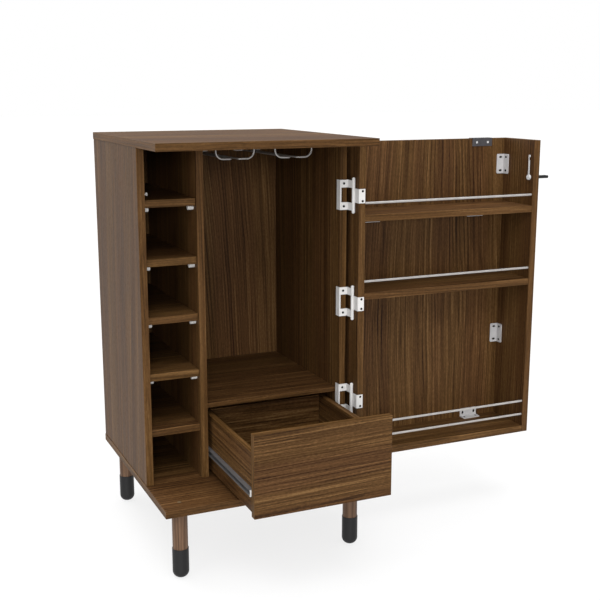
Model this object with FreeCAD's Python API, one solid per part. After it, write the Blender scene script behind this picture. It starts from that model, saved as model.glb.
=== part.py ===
import FreeCAD, Part
import math
import os

# Bar cabinet on four round legs: a bottle column, a stemware bay over a drawer, and a shelved box door.
# Millimetres, in carcass coordinates: X from the left side's outer face, Y from the front edge of the top
# towards the back, Z from the floor. Door and drawer are laid out shut, then the door is swung half a turn
# about its hinge pins and the drawer is pulled out. The finished pieces are shifted so that the origin is
# the middle of the footprint.

V = FreeCAD.Vector
X_AXIS = V(1, 0, 0)
Y_AXIS = V(0, 1, 0)
Z_AXIS = V(0, 0, 1)

# Carcass
width = 450.0
side_overhang = 1.3
depth = 495.0
board = 15.0
clear_height = 685.6
door_zone = 139.0
back_board = 3.0
edge_round = 0.8
bottle_width = 104.0

# Legs
leg_length = 142.4
leg_diameter = 31.0
leg_inset = 37.0
cap_height = 62.0
cap_wall = 1.0
cap_floor = 11.0
cap_round = 14.0
cap_fit = 0.05
bolt_diameter = 8.0
bolt_depth = 30.0

# Bottle shelves and their pins
bottle_shelf_count = 5
pinned_shelf_count = 4
bottle_shelf_setback = 6.0
shelf_side_gap = 0.3
shelf_back_gap = 0.5
pin_head_diameter = 9.6
pin_head_length = 12.0
pin_peg_diameter = 5.0
pin_peg_length = 8.0
pin_setback = 18.0
pin_round = 1.0
pin_rest_gap = 0.1

# Bay shelf
bay_shelf_board = 10.0
bay_shelf_rise = 144.1
bay_shelf_setback = 18.0

# Dowels and screws
dowel_diameter = 6.0
dowel_panel_seat = 10.0
dowel_board_seat = 20.0
dowel_place_shares = (0.15, 0.85)
fit = 0.05
screw_head_diameter = 5.2
screw_diameter = 2.8
screw_head_height = 1.3
screw_length = 12.0
back_screw_shares = (0.08, 0.5, 0.92)

# Stemware racks
rack_width = 86.7
rack_spacing = 130.0
rack_slot = 12.0
rack_drop = 30.7
rack_wire = 3.6
rack_setback = 50.0
rack_length = 270.0
rack_bend = 16.0
rack_lip_bend = 5.0
strap_width = 14.0
strap_thickness = 2.0
strap_screw_share = 0.3

# Drawer
drawer_extension = 250.0
drawer_front_height = 166.3
drawer_floor_gap = 4.0
drawer_left_gap = 4.1
drawer_right_gap = 4.9
drawer_face_setback = 1.0
drawer_side_board = 12.0
drawer_side_height = 121.0
drawer_side_rise = 2.6
drawer_box_length = 300.0
drawer_bottom_board = 4.0
drawer_groove_rise = 8.0
drawer_groove_depth = 5.0
drawer_dowel_shares = (0.3, 0.8)

# Drawer slides
slide_thickness = 10.0
slide_height = 15.8
slide_wall = 1.2
slide_play = 0.5
slide_lip_gap = 1.2
slide_rise = 50.5
slide_front_gap = 0.5
slide_screw_shares = (0.12, 0.88)

# Box door
door_gap = 2.0
door_end_gap = 3.0
door_depth = 131.0
door_upper_shelf_rise = 519.2
door_middle_shelf_rise = 352.7
door_shelf_setback = 1.0
rod_diameter = 5.0
rod_setback = 6.0
rod_rise = 24.1
rod_seat = 7.0
low_rod_rise = 27.1
high_rod_rise = 59.1

# Angle brackets in the door
bracket_leg = 20.0
shelf_bracket_leg = 18.0
bracket_length = 45.0
bracket_wall = 1.8
bracket_round = 3.0
bracket_screw_share = 0.5
bracket_spread_share = 0.344
bracket_slot_length = 8.6
bracket_slot_width = 4.2
bracket_inset = 89.0
bracket_rise_shares = (0.318, 0.913)

# Strike plate and magnet
strike_inset = 75.5
strike_width = 53.0
strike_height = 17.4
strike_wall = 1.2
strike_screw_share = 0.28
strike_screw_head_diameter = 5.4
magnet_diameter = 9.0
magnet_depth = 8.0
magnet_stand = 0.6

# Hinges
hinge_rise_shares = (0.1942, 0.508, 0.8416)
pin_reach = 20.5
leaf_wall = 1.5
leaf_height = 63.0
leaf_window = 31.0
leaf_strip = 1.5
leaf_air = 0.4
flange_depth = 15.0
door_leaf_height = 29.6
barrel_diameter = 7.0
hinge_pin_diameter = 4.0
pin_cap_gap = 0.2
pin_cap_height = 6.0
pin_cap_round = 2.8
frame_screw_share = 0.76
door_screw_share = 0.7
dimple_diameter = 2.4

# Hook latch
latch_setback = 15.4
latch_drop = 83.0
latch_turn_degrees = 94.5
spindle_diameter = 6.0
hook_length = 50.0
hook_width = 4.2
hook_wall = 1.2
hook_air = 0.4
hook_web = 1.7
hook_notch = 7.0
hook_nose = 5.0
nose_reach = 1.5
hook_boss_diameter = 12.4
knob_length = 32.5
knob_thickness = 6.4
knob_breadth = 15.0
knob_round = 2.2
collar_diameter = 13.0
collar_length = 3.0
nut_width = 10.4
nut_height = 1.6
keeper_diameter = 5.0
keeper_length = 9.0
keeper_seat = 8.0
keeper_head_diameter = 7.0
keeper_head_length = 2.0
keeper_air = 0.4

overrun = 1.0

# Planes that several pieces share
floor_z = leg_length + board
ceiling_z = floor_z + clear_height
front_y = door_zone
back_y = depth - back_board
divider_x = board + bottle_width
bay_left_x = divider_x + board
bay_right_x = width - board
outer_x = (-side_overhang, width + side_overhang)
door_inner_x = (outer_x[0] + board, outer_x[1] - board)
rim_y = front_y - door_gap
face_y = rim_y - door_depth
panel_y = face_y + board
door_low_z = floor_z + door_end_gap
door_high_z = ceiling_z - door_end_gap
pin_x = outer_x[1] + leaf_air + barrel_diameter / 2
pin_y = front_y - pin_reach
latch_y = rim_y - latch_setback
latch_z = door_high_z - latch_drop
drawer_face_y = front_y + drawer_face_setback
drawer_low_z = floor_z + drawer_floor_gap
slide_z = floor_z + slide_rise
origin_x = pin_x + knob_length / 2
origin_y = (depth + drawer_face_y - drawer_extension) / 2


def block(x, y, z):
    """A box between two limits along each axis."""
    return Part.makeBox(x[1] - x[0], y[1] - y[0], z[1] - z[0], V(x[0], y[0], z[0]))


def spread(middle, length):
    """The two ends of a length laid evenly about a middle."""
    return (middle - length / 2, middle + length / 2)


def panel(x, y, z):
    """A board with its edges eased."""
    plain = block(x, y, z)
    return plain.makeFillet(edge_round, plain.Edges)


def bar(start, direction, diameter, length):
    """A round bar that runs from start along a direction."""
    return Part.makeCylinder(diameter / 2, length, start, direction)


def joined(shapes):
    """One solid made of shapes that run into each other."""
    return shapes[0].multiFuse(shapes[1:]).removeSplitter()


def rim_edges(shape, place, direction):
    """The circular edges of a shape that lie in the plane through place, square to direction."""
    found = []
    for edge in shape.Edges:
        if not isinstance(edge.Curve, Part.Circle):
            continue
        in_plane = abs((edge.Curve.Center - place).dot(direction)) < fit
        if in_plane and abs(edge.Curve.Axis.dot(direction)) > fit:
            found.append(edge)
    return found


class Joinery:
    """Collects dowels or screws with the bores that the boards around them need."""

    def __init__(self):
        self.solids = []
        self.bores = []

    def add_dowel(self, joint, direction):
        """A dowel across a joint: seated in the panel behind the joint and in the board ahead of it."""
        start = joint - direction * dowel_panel_seat
        length = dowel_panel_seat + dowel_board_seat
        self.solids.append(bar(start, direction, dowel_diameter, length))
        self.bores.append(bar(start, direction, dowel_diameter + 2 * fit, length))

    def add_screw(self, face, direction, head_diameter=screw_head_diameter):
        """A flush screw driven from a face along a direction."""
        self.solids.append(screw_shape(face, direction, head_diameter, 0))
        self.bores.append(screw_shape(face, direction, head_diameter, fit))

    def bored(self, shape):
        """The shape with room cut for every fastener that reaches it."""
        near = [bore for bore in self.bores if bore.BoundBox.intersect(shape.BoundBox)]
        return shape.cut(near) if near else shape

    def group(self):
        """All fasteners as one group of separate solids."""
        return Part.makeCompound(self.solids)


def screw_shape(face, direction, head_diameter, ease):
    """A countersunk head and a shank, grown all round by ease."""
    head_radius = head_diameter / 2 + ease
    shank_radius = screw_diameter / 2 + ease
    head = Part.makeCone(head_radius, shank_radius, screw_head_height, face, direction)
    shank = bar(face, direction, 2 * shank_radius, screw_length + ease)
    return joined([head, shank])


carcass_dowels = Joinery()
carcass_screws = Joinery()
drawer_dowels = Joinery()
door_screws = Joinery()


def bottle_shelf_tops():
    """Heights of the bottle shelves' upper faces, highest first, with equal openings between them."""
    opening = (clear_height - bottle_shelf_count * board) / (bottle_shelf_count + 1)
    return [ceiling_z - opening - i * (opening + board) for i in range(bottle_shelf_count)]


def depth_places(y_low, y_high, shares):
    """Places along Y at shares of a length."""
    return [y_low + share * (y_high - y_low) for share in shares]


def lay_out_carcass_joinery():
    """Dowels at both ends of the uprights and at the fixed shelves, and the back panel's screws."""
    uprights = (board / 2, divider_x + board / 2, width - board / 2)
    for x in uprights:
        for y in depth_places(front_y, back_y, dowel_place_shares):
            carcass_dowels.add_dowel(V(x, y, ceiling_z), -Z_AXIS)
            carcass_dowels.add_dowel(V(x, y, floor_z), Z_AXIS)
        for share in back_screw_shares:
            carcass_screws.add_screw(V(x, depth, floor_z + share * clear_height), -Y_AXIS)
    low_shelf_z = bottle_shelf_tops()[-1] - board / 2
    for y in depth_places(front_y + bottle_shelf_setback, back_y, dowel_place_shares):
        carcass_dowels.add_dowel(V(board, y, low_shelf_z), X_AXIS)
        carcass_dowels.add_dowel(V(divider_x, y, low_shelf_z), -X_AXIS)
    bay_shelf_z = floor_z + bay_shelf_rise + bay_shelf_board / 2
    for y in depth_places(front_y + bay_shelf_setback, back_y, dowel_place_shares):
        carcass_dowels.add_dowel(V(bay_left_x, y, bay_shelf_z), X_AXIS)
        carcass_dowels.add_dowel(V(bay_right_x, y, bay_shelf_z), -X_AXIS)


def shelf_pin(wall_point, direction, ease):
    """A shelf pin: a peg in the wall and a round head that the shelf lies on."""
    peg_start = wall_point - direction * pin_peg_length
    peg = bar(peg_start, direction, pin_peg_diameter + 2 * ease, pin_peg_length)
    if ease:
        return peg
    head = bar(wall_point, direction, pin_head_diameter, pin_head_length)
    tip = wall_point + direction * pin_head_length
    head = head.makeFillet(pin_round, rim_edges(head, tip, direction))
    return joined([head, peg])


def shelf_pins(ease):
    """Pins under the pinned bottle shelves, or with ease the bores for their pegs."""
    solids = []
    y_low = front_y + bottle_shelf_setback + pin_setback
    y_high = back_y - pin_setback
    for top in bottle_shelf_tops()[:pinned_shelf_count]:
        z = top - board - pin_rest_gap - pin_head_diameter / 2
        for y in (y_low, y_high):
            solids.append(shelf_pin(V(board, y, z), X_AXIS, ease))
            solids.append(shelf_pin(V(divider_x, y, z), -X_AXIS, ease))
    return solids


def keeper_place():
    """Centre of the keeper pin where it leaves the left side panel, in the notch of the turned hook."""
    along = hook_length - hook_nose - hook_notch / 2
    aside = hook_web - hook_width / 2 + keeper_air + keeper_diameter / 2
    turn = math.radians(latch_turn_degrees)
    y = latch_y + along * math.sin(turn) + aside * math.cos(turn)
    z = latch_z + along * math.cos(turn) - aside * math.sin(turn)
    return V(board, y, z)


def latch_keeper():
    """The keeper: a pin with a wider head."""
    place = keeper_place()
    pin = bar(place - X_AXIS * keeper_seat, X_AXIS, keeper_diameter, keeper_seat + keeper_length)
    head = bar(place + X_AXIS * keeper_length, X_AXIS, keeper_head_diameter, keeper_head_length)
    return joined([pin, head])


def leg_places():
    """Leg axes by the corner that each stands under."""
    right = width - leg_inset
    rear = depth - leg_inset
    return {
        "front_left": V(leg_inset, leg_inset, 0),
        "front_right": V(right, leg_inset, 0),
        "back_left": V(leg_inset, rear, 0),
        "back_right": V(right, rear, 0),
    }


def leg(place):
    """A round leg with a bore for its bolt."""
    post = bar(place + Z_AXIS * cap_floor, Z_AXIS, leg_diameter, leg_length - cap_floor)
    post = post.makeFillet(edge_round, rim_edges(post, place + Z_AXIS * leg_length, Z_AXIS))
    bore_start = place + Z_AXIS * (leg_length - bolt_depth - fit)
    return post.cut(bar(bore_start, Z_AXIS, bolt_diameter + 2 * fit, bolt_depth + overrun))


def foot_cap(place):
    """A cup with a rounded foot that the leg stands in."""
    outer = leg_diameter + 2 * cap_fit + 2 * cap_wall
    cup = bar(place, Z_AXIS, outer, cap_height)
    cup = cup.makeFillet(cap_round, rim_edges(cup, place, Z_AXIS))
    cup = cup.cut(bar(place + Z_AXIS * cap_floor, Z_AXIS, leg_diameter + 2 * cap_fit, cap_height))
    return cup.makeFillet(cap_wall / 3, rim_edges(cup, place + Z_AXIS * cap_height, Z_AXIS))


def leg_bolt(place, ease):
    """A stud from the leg up through the bottom panel, flush with its upper face; with ease, its bore."""
    start = place + Z_AXIS * (leg_length - bolt_depth)
    return bar(start, Z_AXIS, bolt_diameter + 2 * ease, bolt_depth + board + ease)


def magnet(ease):
    """The magnet let into the underside of the top, over the strike plate of the shut door."""
    seat = V(strike_inset, face_y + board / 2, ceiling_z - magnet_stand)
    return bar(seat, Z_AXIS, magnet_diameter + 2 * ease, magnet_depth + magnet_stand)


def rack_centres():
    """Middles of the two racks across the bay."""
    middle = (bay_left_x + bay_right_x) / 2
    return {"left": middle - rack_spacing / 2, "right": middle + rack_spacing / 2}


def bent_wire(points, bends, diameter):
    """A wire swept along straight runs that are joined by tangent arcs of the given bend radii."""
    edges = []
    last = points[0]
    for before, corner, after, radius in zip(points, points[1:], points[2:], bends):
        run_in = (corner - before).normalize()
        run_out = (after - corner).normalize()
        half_turn = run_in.getAngle(run_out) / 2
        reach = radius * math.tan(half_turn)
        start = corner - run_in * reach
        end = corner + run_out * reach
        inward = (run_out - run_in).normalize()
        middle = corner + inward * (radius / math.cos(half_turn) - radius)
        edges.append(Part.LineSegment(last, start).toShape())
        edges.append(Part.Arc(start, middle, end).toShape())
        last = end
    edges.append(Part.LineSegment(last, points[-1]).toShape())
    path = Part.Wire(edges)
    heading = (points[1] - points[0]).normalize()
    section = Part.Wire([Part.makeCircle(diameter / 2, points[0], heading)])
    return path.makePipeShell([section], True, False)


def rack_screw_places(centre):
    """Screw points in the two straps of a rack."""
    offset = strap_screw_share * rack_width
    rows = (front_y + rack_setback, front_y + rack_setback + rack_length)
    return [V(centre + side * offset, y, ceiling_z - strap_thickness) for side in (-1, 1) for y in rows]


def glass_rack(centre):
    """Two bent wires that leave a slot for the stems, hung from two straps."""
    front = front_y + rack_setback
    rear = front + rack_length
    low = ceiling_z - rack_drop
    high = ceiling_z - strap_thickness / 2
    pieces = []
    strap_z = (ceiling_z - strap_thickness, ceiling_z)
    for y in (front, rear):
        pieces.append(block(spread(centre, rack_width), spread(y, strap_width), strap_z))
    bends = (rack_bend, rack_lip_bend, rack_lip_bend, rack_bend)
    for side in (-1, 1):
        outer = centre + side * (rack_width - rack_wire) / 2
        inner = centre + side * (rack_slot + rack_wire) / 2
        run = [V(outer, front, high), V(outer, front, low), V(inner, front, low)]
        run += [V(inner, rear, low), V(outer, rear, low), V(outer, rear, high)]
        pieces.append(bent_wire(run, bends, rack_wire))
    return joined(pieces)


def hinge_heights():
    """Middles of the hinges by name."""
    names = ("bottom", "middle", "top")
    return {name: floor_z + share * clear_height for name, share in zip(names, hinge_rise_shares)}


def knuckle_bore(z):
    """Room for the hinge pin through the whole barrel."""
    start = V(pin_x, pin_y, z - leaf_height)
    return bar(start, Z_AXIS, hinge_pin_diameter + 2 * fit, 2 * leaf_height)


def frame_hinge_leaf(z):
    """The windowed leaf: a flange in the bay, a flat on the panel's front edge, two arms to the barrel."""
    inside = bay_right_x - leaf_wall
    arm_x = outer_x[1] + leaf_air
    outside = arm_x + leaf_wall
    tall = spread(z, leaf_height)
    flange = block((inside, bay_right_x), (front_y - leaf_wall, front_y + flange_depth), tall)
    flat = block((inside, outside), (front_y - leaf_wall, front_y), tall)
    arms = block((arm_x, outside), (pin_y, front_y), tall)
    barrel = bar(V(pin_x, pin_y, tall[0]), Z_AXIS, barrel_diameter, leaf_height)
    leaf = joined([flange, flat, arms, barrel])
    window_x = (bay_right_x + leaf_strip, pin_x + barrel_diameter)
    window_y = (pin_y - barrel_diameter, front_y + overrun)
    leaf = leaf.cut([block(window_x, window_y, spread(z, leaf_window)), knuckle_bore(z)])
    return carcass_screws.bored(leaf)


def door_hinge_leaf(z):
    """The small leaf: along the outside of the door's hinge side and round its rim, inside the window."""
    tall = spread(z, door_leaf_height)
    side_x = (outer_x[1], outer_x[1] + leaf_wall)
    side = block(side_x, (pin_y, rim_y + leaf_wall), tall)
    end_x = bay_right_x + 2 * leaf_strip
    flap = block((end_x, side_x[1]), (rim_y, rim_y + leaf_wall), tall)
    barrel = bar(V(pin_x, pin_y, tall[0]), Z_AXIS, barrel_diameter, door_leaf_height)
    leaf = joined([side, flap, barrel])
    dimple_start = V(side_x[0] - overrun, (pin_y + rim_y) / 2, z)
    dimple = bar(dimple_start, X_AXIS, dimple_diameter, leaf_wall + 2 * overrun)
    leaf = leaf.cut([dimple, knuckle_bore(z)])
    return door_screws.bored(leaf)


def hinge_pin(z):
    """A hinge pin with a domed cap at each end."""
    half = leaf_height / 2 + pin_cap_gap
    base = V(pin_x, pin_y, z)
    pieces = [bar(base - Z_AXIS * half, Z_AXIS, hinge_pin_diameter, 2 * half)]
    for way in (Z_AXIS, -Z_AXIS):
        cap = bar(base + way * half, way, barrel_diameter, pin_cap_height)
        tip = base + way * (half + pin_cap_height)
        pieces.append(cap.makeFillet(pin_cap_round, rim_edges(cap, tip, Z_AXIS)))
    return joined(pieces)


def lay_out_hardware_screws():
    """Screws of the hinges, the racks and the slide rails."""
    frame_x = width - board / 2
    door_x = outer_x[1] - board / 2
    for z in hinge_heights().values():
        for side in (-1, 1):
            frame_z = z + side * frame_screw_share * leaf_height / 2
            carcass_screws.add_screw(V(frame_x, front_y - leaf_wall, frame_z), Y_AXIS)
            door_z = z + side * door_screw_share * door_leaf_height / 2
            door_screws.add_screw(V(door_x, rim_y + leaf_wall, door_z), -Y_AXIS)
    for centre in rack_centres().values():
        for place in rack_screw_places(centre):
            carcass_screws.add_screw(place, Z_AXIS)
    for share in slide_screw_shares:
        y = slide_front() + share * drawer_box_length
        carcass_screws.add_screw(V(bay_left_x + slide_wall, y, slide_z), -X_AXIS)
        carcass_screws.add_screw(V(bay_right_x - slide_wall, y, slide_z), X_AXIS)


def slide_front():
    """Front end of the shut slides, just behind the drawer front."""
    return drawer_face_y + board + slide_front_gap


def channel(wall_x, way, base, reach, height):
    """A channel along Y: a base plate at an offset from a wall and two lips that reach along X."""
    y = (slide_front(), slide_front() + drawer_box_length - slide_front_gap)
    near, far = wall_x + way * base, wall_x + way * (base + slide_wall)
    tip = wall_x + way * reach
    plate = block(sorted((near, far)), y, spread(slide_z, height))
    lips = []
    for side in (-1, 1):
        outer = slide_z + side * height / 2
        lips.append(block(sorted((near, tip)), y, sorted((outer, outer - side * slide_wall))))
    return joined([plate] + lips)


def slide_rail(wall_x, way):
    """The fixed channel on the cabinet's wall."""
    return carcass_screws.bored(channel(wall_x, way, 0, slide_thickness - slide_lip_gap, slide_height))


def slide_runner(wall_x, way):
    """The channel on the drawer side, which runs inside the rail, with its front end closed by a lip."""
    height = slide_height - 2 * slide_wall - 2 * slide_play
    reach = slide_wall + slide_play
    runner = channel(wall_x, way, slide_thickness - slide_wall, reach, height)
    x = sorted((wall_x + way * reach, wall_x + way * slide_thickness))
    lip = block(x, (slide_front(), slide_front() + slide_wall), spread(slide_z, height))
    return joined([runner, lip])


def drawer_x():
    """Outer faces of the drawer's sides."""
    return bay_left_x + slide_thickness, bay_right_x - slide_thickness


def drawer_box_z():
    """Lower and upper edge of the drawer's sides."""
    low = drawer_low_z + drawer_side_rise
    return low, low + drawer_side_height


def drawer_boards():
    """Front, sides, back and grooved-in bottom of the shut drawer."""
    left, right = drawer_x()
    low, high = drawer_box_z()
    face_back = drawer_face_y + board
    tail = face_back + drawer_box_length
    bottom_z = (low + drawer_groove_rise, low + drawer_groove_rise + drawer_bottom_board)
    inner_left, inner_right = left + drawer_side_board, right - drawer_side_board
    rear = (tail - drawer_side_board, tail)
    for share in drawer_dowel_shares:
        z = low + share * drawer_side_height
        for x in (left + drawer_side_board / 2, right - drawer_side_board / 2):
            drawer_dowels.add_dowel(V(x, face_back, z), Y_AXIS)
        y = tail - drawer_side_board / 2
        drawer_dowels.add_dowel(V(inner_left, y, z), X_AXIS)
        drawer_dowels.add_dowel(V(inner_right, y, z), -X_AXIS)
    bottom = block(
        (inner_left - drawer_groove_depth, inner_right + drawer_groove_depth),
        (face_back - drawer_groove_depth, tail),
        bottom_z,
    )
    front_x = (bay_left_x + drawer_left_gap, bay_right_x - drawer_right_gap)
    front_z = (drawer_low_z, drawer_low_z + drawer_front_height)
    boards = {
        "drawer_front": panel(front_x, (drawer_face_y, face_back), front_z),
        "drawer_left_side": panel((left, inner_left), (face_back, tail), (low, high)),
        "drawer_right_side": panel((inner_right, right), (face_back, tail), (low, high)),
        "drawer_back": panel((inner_left, inner_right), rear, (bottom_z[1], high)),
    }
    boards = {name: drawer_dowels.bored(shape.cut(bottom)) for name, shape in boards.items()}
    boards["drawer_bottom"] = bottom
    return boards


def door_shelf_floors():
    """Undersides of the door's two shelves."""
    return {
        "door_upper_shelf": door_low_z + door_upper_shelf_rise,
        "door_middle_shelf": door_low_z + door_middle_shelf_rise,
    }


def rod_heights():
    """Heights of the guard rods' axes."""
    bottom_top = door_low_z + board
    over_shelves = [z + board + rod_rise for z in door_shelf_floors().values()]
    return over_shelves + [bottom_top + high_rod_rise, bottom_top + low_rod_rise]


def guard_rods(ease):
    """Rods across the door's compartments; with ease, their seats in the two sides."""
    start_x = door_inner_x[0] - rod_seat
    length = door_inner_x[1] + rod_seat - start_x
    y = rim_y - rod_setback
    return [bar(V(start_x, y, z), X_AXIS, rod_diameter + 2 * ease, length) for z in rod_heights()]


def local_block(corner, axes, spans):
    """A box given by spans along three unit vectors from a corner."""
    low = corner
    high = corner
    for axis, span in zip(axes, spans):
        low = low + axis * span[0]
        high = high + axis * span[1]
    limits = [sorted(pair) for pair in zip(low, high)]
    return block(*limits)


def bracket_slot(place, along, reach, lift):
    """A round-ended slot through a bracket's leaf, long in the direction away from the corner."""
    straight = bracket_slot_length - bracket_slot_width
    spans = (spread(0, bracket_slot_width), spread(0, straight), (0, bracket_wall))
    pieces = [local_block(place, (along, reach, lift), spans)]
    for offset in spread(0, straight):
        pieces.append(bar(place + reach * offset, lift, bracket_slot_width, bracket_wall))
    return joined(pieces)


def bracket(corner, along, first, second, leaf_reach):
    """An angle bracket in an inside corner, with slotted leaves; its screws join the door's screws."""
    half = bracket_length / 2
    leaves = []
    slots = []
    for reach, lift in ((first, second), (second, first)):
        spans = ((-half, half), (0, leaf_reach), (0, bracket_wall))
        leaf = local_block(corner, (along, reach, lift), spans)
        tips = [corner + reach * leaf_reach + along * side * half for side in (-1, 1)]
        rounds = [edge for edge in leaf.Edges if is_corner_edge(edge, tips, lift)]
        leaves.append(leaf.makeFillet(bracket_round, rounds))
        for side in (-1, 1):
            place = corner + reach * bracket_screw_share * leaf_reach
            place = place + along * side * bracket_spread_share * bracket_length
            slots.append(bracket_slot(place, along, reach, lift))
            door_screws.add_screw(place + lift * bracket_wall, -lift)
    return joined(leaves).cut(slots)


def is_corner_edge(edge, tips, lift):
    """Whether an edge runs along lift through one of the points."""
    ends = [vertex.Point for vertex in edge.Vertexes]
    if abs((ends[1] - ends[0]).dot(lift)) < fit:
        return False
    return any((ends[0] - tip).cross(lift).Length < fit for tip in tips)


def bracket_layout():
    """Corner, run, leaf directions and leaf reach of every bracket in the door box."""
    places = []
    for share in bracket_rise_shares:
        z = door_low_z + share * (door_high_z - door_low_z)
        places.append((V(door_inner_x[0], panel_y, z), Z_AXIS, X_AXIS, Y_AXIS, bracket_leg))
        places.append((V(door_inner_x[1], panel_y, z), Z_AXIS, -X_AXIS, Y_AXIS, bracket_leg))
    for x in (bracket_inset, width - bracket_inset):
        places.append((V(x, panel_y, door_low_z + board), X_AXIS, Z_AXIS, Y_AXIS, bracket_leg))
        for z in door_shelf_floors().values():
            places.append((V(x, panel_y, z), X_AXIS, -Z_AXIS, Y_AXIS, shelf_bracket_leg))
    return places


def strike_plate():
    """A dark angle over the top edge of the door's front panel, screwed to its inner face."""
    x = spread(strike_inset, strike_width)
    top = door_high_z + strike_wall
    leaf = block(x, (panel_y, panel_y + strike_wall), (door_high_z - strike_height, top))
    cover = block(x, (face_y, panel_y + strike_wall), (door_high_z, top))
    for side in (-1, 1):
        place_x = strike_inset + side * strike_screw_share * strike_width
        place = V(place_x, panel_y + strike_wall, door_high_z - strike_height / 2)
        door_screws.add_screw(place, -Y_AXIS, strike_screw_head_diameter)
    return joined([leaf, cover])


def door_boards():
    """Front panel, both sides, bottom and shelves of the shut door, without bores."""
    tall = (door_low_z, door_high_z)
    deep = (panel_y, rim_y)
    boards = {
        "door_front_panel": panel(outer_x, (face_y, panel_y), tall),
        "door_hinge_side": panel((door_inner_x[1], outer_x[1]), deep, tall),
        "door_free_side": panel((outer_x[0], door_inner_x[0]), deep, tall),
        "door_bottom": panel(door_inner_x, deep, (door_low_z, door_low_z + board)),
    }
    for name, z in door_shelf_floors().items():
        boards[name] = panel(door_inner_x, (panel_y, rim_y - door_shelf_setback), (z, z + board))
    return boards


def spindle_bore():
    """The hole for the latch's spindle through the door's free side and the pieces on it."""
    start = V(outer_x[0] - overrun, latch_y, latch_z)
    return bar(start, X_AXIS, spindle_diameter + 2 * fit, nut_end_x() - outer_x[0] + 2 * overrun)


def hook_x():
    """The two faces of the hook bar, which clears the cabinet's side panel when it is turned."""
    return (board + hook_air, board + hook_air + hook_wall)


def nut_end_x():
    """The inner end of the latch."""
    return hook_x()[1] + nut_height


def latch_knob():
    """The thumb turn with its collar and the spindle through the door's side."""
    centre = V(outer_x[0], latch_y, latch_z)
    spindle = bar(centre, X_AXIS, spindle_diameter, nut_end_x() - outer_x[0])
    collar = bar(centre, -X_AXIS, collar_diameter, collar_length)
    blade_x = (outer_x[0] - knob_length, outer_x[0])
    blade = block(blade_x, spread(latch_y, knob_breadth), spread(latch_z, knob_thickness))
    blade = blade.makeFillet(knob_round, blade.Edges)
    return joined([spindle, collar, blade])


def latch_hook():
    """The hook, upright: a boss, a bar notched in the edge towards the rim, and a nose past that edge."""
    x = hook_x()
    boss_x = door_inner_x[0] + hook_air
    boss = bar(V(boss_x, latch_y, latch_z), X_AXIS, hook_boss_diameter, x[1] - boss_x)
    near, far = spread(latch_y, hook_width)
    tip_z = latch_z + hook_length
    shaft = block(x, (near, far), (latch_z, tip_z))
    nose = block(x, (near, far + nose_reach), (tip_z - hook_nose, tip_z))
    notch_z = (tip_z - hook_nose - hook_notch, tip_z - hook_nose)
    notch = block(x, (near + hook_web, far + nose_reach), notch_z)
    return joined([boss, shaft, nose]).cut([notch, spindle_bore()])


def latch_nut():
    """A six-sided nut on the end of the spindle."""
    centre = V(hook_x()[1], latch_y, latch_z)
    radius = nut_width / math.sqrt(3)
    corners = []
    for i in range(7):
        angle = i * math.pi / 3
        corners.append(centre + Y_AXIS * radius * math.cos(angle) + Z_AXIS * radius * math.sin(angle))
    nut = Part.Face(Part.makePolygon(corners)).extrude(X_AXIS * nut_height)
    return nut.cut(spindle_bore())


def carcass():
    """Everything that stands still."""
    lay_out_carcass_joinery()
    lay_out_hardware_screws()
    deep = (front_y, back_y)
    tall = (floor_z, ceiling_z)
    legs = leg_places()
    pegs = shelf_pins(fit)
    keeper = latch_keeper()
    keeper_bore = bar(keeper_place() - X_AXIS * keeper_seat, X_AXIS, keeper_diameter + 2 * fit, keeper_seat)
    bolt_bores = [leg_bolt(place, fit) for place in legs.values()]
    boards = {
        "top_panel": panel(outer_x, (0, depth), (ceiling_z, ceiling_z + board)).cut(magnet(fit)),
        "bottom_panel": panel(outer_x, (0, depth), (leg_length, floor_z)).cut(bolt_bores),
        "left_side_panel": panel((0, board), deep, tall).cut(pegs + [keeper_bore]),
        "divider_panel": panel((divider_x, bay_left_x), deep, tall).cut(pegs),
        "right_side_panel": panel((bay_right_x, width), deep, tall),
        "back_panel": block((0, width), (back_y, depth), tall),
    }
    bay_z = floor_z + bay_shelf_rise
    bay_y = (front_y + bay_shelf_setback, back_y)
    boards["bay_shelf"] = panel((bay_left_x, bay_right_x), bay_y, (bay_z, bay_z + bay_shelf_board))
    for number, top in enumerate(bottle_shelf_tops(), 1):
        gap = shelf_side_gap if number <= pinned_shelf_count else 0
        x = (board + gap, divider_x - gap)
        y = (front_y + bottle_shelf_setback, back_y - shelf_back_gap)
        boards["bottle_shelf_%d" % number] = panel(x, y, (top - board, top))
    parts = {name: carcass_screws.bored(carcass_dowels.bored(shape)) for name, shape in boards.items()}
    parts["shelf_pins"] = Part.makeCompound(shelf_pins(0))
    parts["panel_dowels"] = carcass_dowels.group()
    parts["latch_keeper"] = keeper
    parts["door_magnet"] = magnet(0)
    for corner, place in legs.items():
        parts["leg_" + corner] = leg(place)
        parts["foot_cap_" + corner] = foot_cap(place)
    parts["leg_bolts"] = Part.makeCompound([leg_bolt(place, 0) for place in legs.values()])
    for side, centre in rack_centres().items():
        parts["glass_rack_" + side] = carcass_screws.bored(glass_rack(centre))
    for name, z in hinge_heights().items():
        parts["frame_hinge_leaf_" + name] = frame_hinge_leaf(z)
    parts["slide_rail_left"] = slide_rail(bay_left_x, 1)
    parts["slide_rail_right"] = slide_rail(bay_right_x, -1)
    parts["carcass_screws"] = carcass_screws.group()
    return parts


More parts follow.
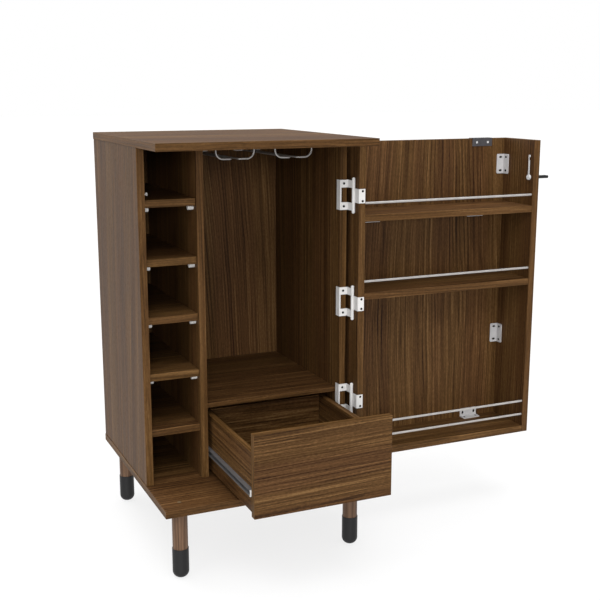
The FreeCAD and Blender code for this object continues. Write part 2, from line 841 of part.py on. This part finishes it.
def door():
    """The box door, shut, with its latch."""
    brackets = [bracket(*place) for place in bracket_layout()]
    plate = strike_plate()
    parts = {}
    for name, shape in door_boards().items():
        seats = guard_rods(fit) + [spindle_bore()] if name.endswith("_side") else []
        parts[name] = door_screws.bored(shape.cut(seats) if seats else shape)
    parts["guard_rods"] = Part.makeCompound(guard_rods(0))
    parts["corner_brackets"] = Part.makeCompound([door_screws.bored(shape) for shape in brackets])
    parts["strike_plate"] = door_screws.bored(plate)
    for name, z in hinge_heights().items():
        parts["door_hinge_leaf_" + name] = door_hinge_leaf(z)
    parts["door_screws"] = door_screws.group()
    parts["latch_knob"] = latch_knob()
    parts["latch_hook"] = latch_hook()
    parts["latch_nut"] = latch_nut()
    return parts


def drawer():
    """The drawer, shut, with the runners on its sides."""
    parts = drawer_boards()
    parts["drawer_dowels"] = drawer_dowels.group()
    parts["slide_runner_left"] = slide_runner(bay_left_x, 1)
    parts["slide_runner_right"] = slide_runner(bay_right_x, -1)
    return parts


def placed(parts, motion):
    """Copies of the parts, moved and then shifted to the finished origin."""
    home = FreeCAD.Placement(V(-origin_x, -origin_y, 0), FreeCAD.Rotation())
    moved = {}
    for name, shape in parts.items():
        moved[name] = shape.transformed(home.multiply(motion).toMatrix(), True)
    return moved


def main():
    """Poses the bodies with the door open and the drawer out, and writes each piece."""
    still = FreeCAD.Placement()
    swing = FreeCAD.Placement(V(0, 0, 0), FreeCAD.Rotation(Z_AXIS, 180), V(pin_x, pin_y, 0))
    pull = FreeCAD.Placement(V(0, -drawer_extension, 0), FreeCAD.Rotation())
    pins = {"hinge_pins": Part.makeCompound([hinge_pin(z) for z in hinge_heights().values()])}
    pieces = {}
    pieces.update(placed(carcass(), still))
    pieces.update(placed(pins, still))
    pieces.update(placed(door(), swing))
    pieces.update(placed(drawer(), pull))
    os.makedirs("parts", exist_ok=True)
    for name, shape in pieces.items():
        shape.exportStep("parts/" + name + ".step")
        print(name, len(shape.Solids), shape.isValid(), round(shape.Volume))


main()
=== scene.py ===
"""Bar cabinet in walnut laminate, its door folded back and its drawer out.

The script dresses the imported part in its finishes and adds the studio, its lights and the camera.
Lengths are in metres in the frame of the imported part: X to the right, Y to the back, Z up.
"""

import math

import bpy
import numpy as np
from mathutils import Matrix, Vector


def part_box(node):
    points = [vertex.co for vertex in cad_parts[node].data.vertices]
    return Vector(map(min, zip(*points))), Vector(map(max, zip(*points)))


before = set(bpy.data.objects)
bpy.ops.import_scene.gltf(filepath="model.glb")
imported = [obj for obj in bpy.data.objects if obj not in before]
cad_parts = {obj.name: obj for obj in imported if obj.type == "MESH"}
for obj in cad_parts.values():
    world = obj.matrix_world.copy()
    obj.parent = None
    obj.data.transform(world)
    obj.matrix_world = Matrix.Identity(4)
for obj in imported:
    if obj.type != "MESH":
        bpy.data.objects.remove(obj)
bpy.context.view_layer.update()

X, Y, Z = 0, 1, 2
studio_gain = 1.45  # how many times as bright as its base colour a front face comes out


def paint(red, green, blue):
    """The base colour that comes out as a colour of 0 to 255: by the sRGB curve, less the gain."""
    share = np.array([red, green, blue]) / 255
    linear = np.where(share <= 0.04045, share / 12.92, ((share + 0.055) / 1.055) ** 2.4)
    return (*(linear / studio_gain).tolist(), 1.0)


class Wire:
    """One shader socket of a finish: sums on it add Math nodes, and methods add the other nodes."""

    def __init__(self, tree, socket=None):
        self.tree = tree
        self.socket = socket

    def node(self, kind, inputs, output=0, stops=(), **settings):
        """Adds one node: first its settings and ramp stops, then values or links of its sockets."""
        made = self.tree.nodes.new("ShaderNode" + kind)
        for name, value in settings.items():
            setattr(made, name, value)
        if stops:
            ends = made.color_ramp.elements
            ends[0].position, ends[0].color = stops[0]
            ends[-1].position, ends[-1].color = stops[-1]
            for place, colour in stops[1:-1]:
                ends.new(place).color = colour
        for name, value in inputs.items():
            if isinstance(value, Wire):
                self.tree.links.new(value.socket, made.inputs[name])
            else:
                made.inputs[name].default_value = value
        return Wire(self.tree, made.outputs[output])

    def sum(self, operation, first, second=0.0):
        return self.node("Math", {0: first, 1: second}, operation=operation)

    def __add__(self, other):
        return self.sum("ADD", self, other)

    __radd__ = __add__

    def __sub__(self, other):
        return self.sum("SUBTRACT", self, other)

    def __rsub__(self, other):
        return self.sum("SUBTRACT", other, self)

    def __mul__(self, other):
        return self.sum("MULTIPLY", self, other)

    __rmul__ = __mul__

    def least(self, other):
        return self.sum("MINIMUM", self, other)

    def most(self, other):
        return self.sum("MAXIMUM", self, other)

    def fract(self):
        return self.sum("FRACT", self)

    def rise(self, low, high):
        """Goes smoothly from 0 at low to 1 at high."""
        return self.node("MapRange", {0: self, 1: low, 2: high}, interpolation_type="SMOOTHSTEP")

    def mix(self, first, second):
        """The first colour where this is 0 and the second where it is 1."""
        return self.node("Mix", {0: self, 6: first, 7: second}, output=2, data_type="RGBA")

    def choose(self, first, second):
        """The first vector where this is 0 and the second where it is 1."""
        return self.node("Mix", {0: self, 4: first, 5: second}, output=1, data_type="VECTOR")

    def ramp(self, stops):
        return self.node("ValToRGB", {0: self}, stops=stops)

    def axes(self):
        """The three numbers of a vector."""
        return [self.node("SeparateXYZ", {0: self}, output=axis) for axis in (X, Y, Z)]

    def vector(self, x, y, z):
        return self.node("CombineXYZ", {0: x, 1: y, 2: z})

    def move(self, operation, other):
        return self.node("VectorMath", {0: self, 1: other}, operation=operation)

    def noise(self, stretch, detail=2.0, roughness=0.5, output="Fac"):
        """Cloudy values round a half, with stretch cells to the metre along each axis."""
        stretched = self.move("MULTIPLY", stretch)
        inputs = {"Vector": stretched, "Scale": 1.0, "Detail": detail, "Roughness": roughness}
        return self.node("TexNoise", inputs, output=output)

    def wander(self, stretch, reach, detail=1.0):
        """This place pushed about by slow noise, by up to about a quarter of reach on each axis."""
        cloud = self.noise(stretch, detail=detail, output="Color")
        push = cloud.move("SUBTRACT", (0.5, 0.5, 0.5))
        return self.move("ADD", push.move("MULTIPLY", reach))

    def bump(self, strength, distance):
        inputs = {"Strength": strength, "Distance": distance, "Height": self}
        return self.node("Bump", inputs, output="Normal")


def finish(name, dress):
    """A new material: dress works out the sockets of its shader from Object coordinates."""
    material = bpy.data.materials.new(name)
    material.use_nodes = True
    tree = material.node_tree
    shader = tree.nodes["Principled BSDF"]
    place = Wire(tree).node("TexCoord", {}, output="Object")
    for socket, value in dress(place).items():
        if isinstance(value, Wire):
            tree.links.new(value.socket, shader.inputs[socket])
        else:
            shader.inputs[socket].default_value = value
    return material


def edge_distances(place, node):
    """For each axis, how far a point is from the nearer end of the node's box."""
    low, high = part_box(node)
    return [(at - low[axis]).least(high[axis] - at) for axis, at in enumerate(place.axes())]


# Walnut laminate: zones of a darker, redder tone run through a golden one
walnut_gold = (
    (0.00, paint(43, 26, 11)),
    (0.25, paint(65, 43, 20)),
    (0.50, paint(85, 59, 31)),
    (0.75, paint(103, 74, 42)),
    (1.00, paint(128, 96, 59)),
)
walnut_red = (
    (0.00, paint(40, 22, 11)),
    (0.25, paint(62, 40, 20)),
    (0.50, paint(82, 55, 30)),
    (0.75, paint(98, 68, 39)),
    (1.00, paint(120, 88, 54)),
)
band_gold = paint(106, 76, 38)
ring_count = 105.0  # growth rings to the metre across a board
edge_turn = 1.6  # how much closer the rings lie through the thickness of a board
face_depth = 0.0003  # how near to an end of the board's box a point counts as on that face
rim_width = 0.0011  # how far the painted edge highlight and wear of an edge reach
seed_step = np.array((0.731, 0.317, 0.173))  # how far apart in the print two boards lie
mean_tone = 0.60  # where on the ramps of colour the wood lies on average

# Cells of each pattern to the metre: along the grain, across it and through the board
sweep_cells = (0.9, 3.0, 3.0)
wave_cells = (9.0, 26.0, 26.0)
uneven_cells = (0.5, 20.0, 20.0)
figure_cells = (0.8, 9.0, 9.0)
patch_cells = (2.4, 30.0, 30.0)
line_cells = (0.9, 210.0, 210.0)
thread_cells = (2.5, 460.0, 460.0)
stripe_cells = (0.7, 45.0, 45.0)
mottle_cells = (130.0, 420.0, 420.0)
fleck_cells = (120.0, 900.0, 900.0)
zone_cells = (0.6, 14.0, 14.0)
edge_highlight_and_wear_cells = (30.0, 30.0, 30.0)
wave_reach = (0.0, 0.004, 0.004)


def walnut(node, grain, seed, contrast, sweep, fade):
    """Laminate printed with walnut: rings, lines and flecks along the grain, turned on the ends.

    Contrast is the strength of the fine lines, and sweep and fade are how far the grain strays
    across and through the board. The four narrow faces are bands of a more golden tone.
    Patches along every edge are painted lighter, partly as wear and partly as a painted edge
    highlight.
    """
    low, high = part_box(node)
    thin = int(np.argmin(np.subtract(high, low)))
    wide = X + Y + Z - grain - thin

    def dress(place):
        at = place.axes()
        gaps = edge_distances(place, node)
        on_end = 1 - gaps[grain].rise(0.5 * face_depth, face_depth)
        on_band = 1 - gaps[grain].least(gaps[wide]).rise(0.5 * face_depth, face_depth)
        flat = place.vector(at[grain], at[wide], at[thin])
        turned = place.vector(at[wide], at[thin], at[grain])
        lane = on_end.choose(flat, turned).move("ADD", (seed_step * seed).tolist())

        swept = lane.wander(sweep_cells, (0.0, sweep, fade), detail=0.0)
        wavy = swept.wander(wave_cells, wave_reach)
        across, through = wavy.axes()[1:]
        uneven = lane.noise(uneven_cells, detail=1.0)
        rings = ((across + through * edge_turn) * ring_count + uneven * 1.4).fract()
        late_wood = rings.rise(0.45, 0.90) * (1 - rings.rise(0.94, 1.0))
        figure = lane.noise(figure_cells, detail=1.0).rise(0.42, 0.60)
        patch = wavy.noise(patch_cells, detail=2.0).rise(0.36, 0.62)
        rings_here = late_wood * patch * (0.18 + 0.82 * figure)

        lines = wavy.noise(line_cells, detail=2.0, roughness=0.55) - 0.5
        threads = wavy.noise(thread_cells, detail=2.0, roughness=0.6) - 0.5
        stripes = swept.noise(stripe_cells, detail=1.0) - 0.5
        mottle = lane.noise(mottle_cells, detail=2.0, roughness=0.6) - 0.5
        flecks = lane.noise(fleck_cells, detail=1.0).rise(0.58, 0.70)
        zone = swept.noise(zone_cells, detail=1.0).rise(0.42, 0.58)
        fine = lines * 1.5 + threads * 1.3 + mottle * 0.75 - flecks * 0.09
        tone = mean_tone + fine * contrast + stripes * 0.22 - zone * 0.05 - rings_here * 0.40
        wood = zone.mix(tone.ramp(walnut_gold), tone.ramp(walnut_red))

        first, second, last = gaps
        middle = first.least(second).most(first.most(second).least(last))
        rim = 1 - middle.rise(0.3 * rim_width, rim_width)
        # Patches along every edge are painted lighter: partly wear, partly a painted highlight on
        # the rounded edges
        painted_edge_highlight_and_wear = rim * lane.noise(edge_highlight_and_wear_cells, detail=2.0).rise(0.35, 0.65)
        colour = (on_band * 0.20 + painted_edge_highlight_and_wear * 0.16).mix(wood, band_gold)
        height = lines * 0.5 + threads * 0.5 - flecks * 0.5
        return {
            "Base Color": colour,
            "Roughness": 0.50 + threads * 0.25 + flecks * 0.12,
            "Specular IOR Level": 0.08,
            "Normal": height.bump(strength=0.2, distance=0.0002),
        }

    return finish("walnut_" + node, dress)


bottle_shelves = tuple("bottle_shelf_%d" % number for number in range(1, 6))
grain_of_boards = {
    X: (
        "top_panel", "bottom_panel", "bay_shelf", *bottle_shelves,
        "door_bottom", "door_upper_shelf", "door_middle_shelf",
        "drawer_front", "drawer_back", "drawer_bottom",
    ),
    Y: ("drawer_left_side", "drawer_right_side"),
    Z: (
        "left_side_panel", "right_side_panel", "divider_panel", "back_panel",
        "door_front_panel", "door_hinge_side", "door_free_side",
    ),
}
figure_of_grain = {
    X: {"contrast": 1.05, "sweep": 0.06, "fade": 0.06},
    Y: {"contrast": 1.1, "sweep": 0.06, "fade": 0.06},
    Z: {"contrast": 0.85, "sweep": 0.15, "fade": 0.03},
}
boards = [(node, grain) for grain, nodes in grain_of_boards.items() for node in nodes]
for seed, (node, grain) in enumerate(boards, start=1):
    material = walnut(node, grain, seed, **figure_of_grain[grain])
    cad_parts[node].material_slots[0].material = material


def leg_wood(place):
    """Stained beech: fine upright grain with short dark flecks."""
    wavy = place.wander((20.0, 20.0, 4.0), (0.006, 0.006, 0.0))
    grain = wavy.noise((330.0, 330.0, 5.0), detail=3.0, roughness=0.65)
    flecks = place.noise((900.0, 900.0, 60.0), detail=1.0).rise(0.58, 0.70)
    tone = 0.5 + (grain - 0.5) * 2.4 - flecks * 0.15
    stops = ((0.0, paint(66, 46, 32)), (0.5, paint(102, 75, 54)), (1.0, paint(134, 103, 78)))
    return {
        "Base Color": tone.ramp(stops),
        "Roughness": 0.46 + (grain - 0.5) * 0.2,
        "Specular IOR Level": 0.25,
        "Normal": (grain - flecks * 0.5).bump(strength=0.2, distance=0.0002),
    }


def plain_wood(place):
    """Pale beech of the dowels."""
    grain = place.noise((300.0, 300.0, 300.0), detail=2.0)
    stops = ((0.3, paint(176, 138, 96)), (0.7, paint(214, 180, 136)))
    return {
        "Base Color": grain.ramp(stops),
        "Roughness": 0.6,
        "Normal": grain.bump(strength=0.2, distance=0.0002),
    }


def moulded(dark, light, grain_size, roughness, depth):
    """Moulded plastic: a fine pitted skin with slight smears."""

    def dress(place):
        cells = 1.0 / grain_size
        skin = place.noise((cells, cells, cells), detail=2.0, roughness=0.6)
        smear = place.noise((45.0, 45.0, 20.0), detail=2.0)
        return {
            "Base Color": (smear * 0.6 + skin * 0.4).ramp(((0.3, dark), (0.7, light))),
            "Roughness": roughness + (smear - 0.5) * 0.18 + (skin - 0.5) * 0.1,
            "Specular IOR Level": 0.35,
            "Normal": skin.bump(depth, distance=0.0002),
        }

    return dress


def metal(dark, light, brushing, roughness, metallic, shine=0.5, depth=0.12):
    """Bare or plated metal: cloudy marks, and lines of brushing cells to the metre on each axis."""

    def dress(place):
        lines = place.noise(brushing, detail=2.0, roughness=0.6)
        cloud = place.noise((60.0, 60.0, 60.0), detail=3.0)
        return {
            "Base Color": (lines * 0.5 + cloud * 0.5).ramp(((0.3, dark), (0.7, light))),
            "Metallic": metallic,
            "Specular IOR Level": shine,
            "Roughness": roughness + (lines - 0.5) * 0.2 + (cloud - 0.5) * 0.12,
            "Normal": lines.bump(depth, distance=0.0001),
        }

    return dress


def parted(mask, inside, outside):
    """Two finishes on one piece: the outside one where the mask, a function of place, is 1."""

    def dress(place):
        share = mask(place)
        first, second = inside(place), outside(place)
        return {
            "Base Color": share.mix(first["Base Color"], second["Base Color"]),
            "Roughness": first["Roughness"] + share * (second["Roughness"] - first["Roughness"]),
            "Specular IOR Level": min(first["Specular IOR Level"], second["Specular IOR Level"]),
            "Normal": share.choose(first["Normal"], second["Normal"]),
        }

    return dress


def past(axis, limit):
    """A mask that is 1 where a place lies further along an axis than a limit."""
    softness = 0.0001
    return lambda place: place.axes()[axis].rise(limit - softness, limit + softness)


# Finishes of plastic and metal, each from its dark to its light tone
even = (700.0, 700.0, 700.0)
drawn_along_x = (40.0, 1500.0, 1500.0)
rolled_along_y = (900.0, 30.0, 900.0)
bright_steel = metal(
    paint(178, 174, 171), paint(206, 202, 199), drawn_along_x, roughness=0.34, metallic=0.4
)
zinc = metal(
    paint(86, 84, 85), paint(110, 108, 108), rolled_along_y, roughness=0.42, metallic=0.3, shine=0.3
)
dark_steel = metal(
    paint(66, 64, 67), paint(86, 84, 87), even, roughness=0.44, metallic=0.1, shine=0.3
)
bracket_grey = metal(
    paint(190, 188, 189), paint(210, 208, 208), even, roughness=0.45, metallic=0.0
)
bolt_end = metal(
    paint(96, 78, 56), paint(118, 100, 76), even, roughness=0.6, metallic=0.0, shine=0.1
)
black_screw = metal(
    paint(10, 10, 10), paint(20, 20, 21), even, roughness=0.55, metallic=0.0, shine=0.12
)
silver_screw = metal(
    paint(204, 203, 203), paint(232, 231, 231), even, roughness=0.32, metallic=0.0
)
black_plastic = moulded(
    paint(10, 10, 11), paint(20, 20, 21), grain_size=0.0007, roughness=0.36, depth=0.15
)
cap_plastic = moulded(
    paint(9, 9, 10), paint(18, 17, 18), grain_size=0.0006, roughness=0.55, depth=0.35
)
white_plastic = moulded(
    paint(214, 212, 210), paint(234, 232, 229), grain_size=0.0008, roughness=0.38, depth=0.1
)
hinge_white = moulded(
    paint(228, 226, 224), paint(242, 240, 238), grain_size=0.0005, roughness=0.36, depth=0.12
)
slot_finishes = {
    "leg_wood": leg_wood,
    "dowel_wood": plain_wood,
    "foot_cap": cap_plastic,
    "white_plastic": white_plastic,
    "white_hinge": hinge_white,
    "grey_bracket": bracket_grey,
    "bright_steel": bright_steel,
    "zinc_steel": zinc,
    "dark_steel": dark_steel,
    "black_knob": black_plastic,
}
slot_materials = {name: finish(name + "_finish", dress) for name, dress in slot_finishes.items()}
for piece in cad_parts.values():
    old = piece.material_slots[0].material
    name = old.name.split(".")[0] if old else ""
    if name in slot_materials:
        piece.material_slots[0].material = slot_materials[name]

# Pieces with finishes of their own, some with two that meet at a limit
strike_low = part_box("strike_plate")[0][Z]
door_side_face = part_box("door_free_side")[1][X]
tip_length = 0.003  # of the white tip on each drawer runner
runner_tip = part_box("slide_runner_left")[0][Y] + tip_length
own_finishes = {
    "carcass_screws": black_screw,
    "door_screws": parted(past(Z, strike_low), black_screw, silver_screw),
    "latch_knob": parted(past(X, door_side_face), silver_screw, black_plastic),
    "latch_hook": silver_screw,
    "latch_nut": silver_screw,
    "slide_runner_left": parted(past(Y, runner_tip), white_plastic, zinc),
    "slide_runner_right": parted(past(Y, runner_tip), white_plastic, zinc),
    "leg_bolts": bolt_end,
}
for node, dress in own_finishes.items():
    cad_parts[node].material_slots[0].material = finish(node + "_finish", dress)


# Studio
def floor_finish(place):
    """Pale studio floor with the faintest mottle, lit from within so that shadows stay light."""
    mottle = place.noise((3.0, 3.0, 3.0), detail=3.0)
    return {
        "Base Color": mottle.ramp(((0.3, paint(116, 116, 116)), (0.7, paint(120, 120, 120)))),
        "Roughness": 0.9,
        "Specular IOR Level": 0.0,
        "Emission Color": (1.0, 1.0, 1.0, 1.0),
        "Emission Strength": 0.80,
    }


def studio_floor(half_side):
    """A flat square at height 0, whose corners lie half a side off on X and on Y."""
    corner = half_side * np.array([(-1, -1, 0), (1, -1, 0), (1, 1, 0), (-1, 1, 0)], float)
    mesh = bpy.data.meshes.new("studio_floor")
    mesh.from_pydata(corner.tolist(), [], [(0, 1, 2, 3)])
    mesh.materials.append(finish("studio_floor_finish", floor_finish))
    piece = bpy.data.objects.new("studio_floor", mesh)
    bpy.context.scene.collection.objects.link(piece)


def wide_light(name, direction, strength, spread):
    """Soft light along a direction over the whole studio, from a disc spread degrees wide."""
    light = bpy.data.lights.new(name, "SUN")
    light.energy = strength
    light.angle = math.radians(spread)
    lamp = bpy.data.objects.new(name, light)
    bpy.context.scene.collection.objects.link(lamp)
    lamp.rotation_euler = Vector(direction).to_track_quat("-Z", "Y").to_euler()


def surround(front, back, backdrop):
    """White light all round, with its strength from the front, from the back and to the camera."""
    world = bpy.data.worlds.new("studio_surround")
    world.use_nodes = True
    tree = world.node_tree
    depth = Wire(tree).node("TexCoord", {}, output="Generated").axes()[Y]
    glow = front + depth.rise(-0.4, 0.6) * (back - front)
    seen = Wire(tree).node("LightPath", {}, output="Is Camera Ray")
    brightness = glow + seen * (backdrop - glow)
    tree.nodes["Background"].inputs["Color"].default_value = (1.0, 1.0, 1.0, 1.0)
    tree.links.new(brightness.socket, tree.nodes["Background"].inputs["Strength"])
    bpy.context.scene.world = world


def photo_camera(place, yaw, pitch, lens):
    """The camera of the photograph: turned right by yaw and down by pitch, in degrees."""
    data = bpy.data.cameras.new("photo_camera")
    data.sensor_width = 36.0
    data.lens = lens
    data.clip_end = 60.0
    camera = bpy.data.objects.new("photo_camera", data)
    bpy.context.scene.collection.objects.link(camera)
    camera.location = place
    camera.rotation_euler = (math.radians(90 - pitch), 0.0, math.radians(-yaw))
    bpy.context.scene.camera = camera


studio_floor(half_side=30.0)
surround(front=0.35, back=0.60, backdrop=1.0)
wide_light("overhead_light", (0.06, 0.07, -1.0), strength=4.0, spread=60.0)
wide_light("front_light", (0.27, 0.95, -0.14), strength=1.25, spread=14.0)
wide_light("shelf_light", (0.12, 0.70, -0.70), strength=1.20, spread=30.0)
wide_light("side_light", (0.82, 0.47, -0.32), strength=0.80, spread=30.0)
wide_light("back_light", (0.45, -0.80, -0.40), strength=1.0, spread=40.0)
camera_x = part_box("left_side_panel")[0][X] - 0.5055
camera_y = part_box("top_panel")[0][Y] - 1.7664
camera_height = 0.9584
photo_camera((camera_x, camera_y, camera_height), yaw=23.985, pitch=11.936, lens=60.83)
bpy.context.scene.view_settings.view_transform = "Standard"
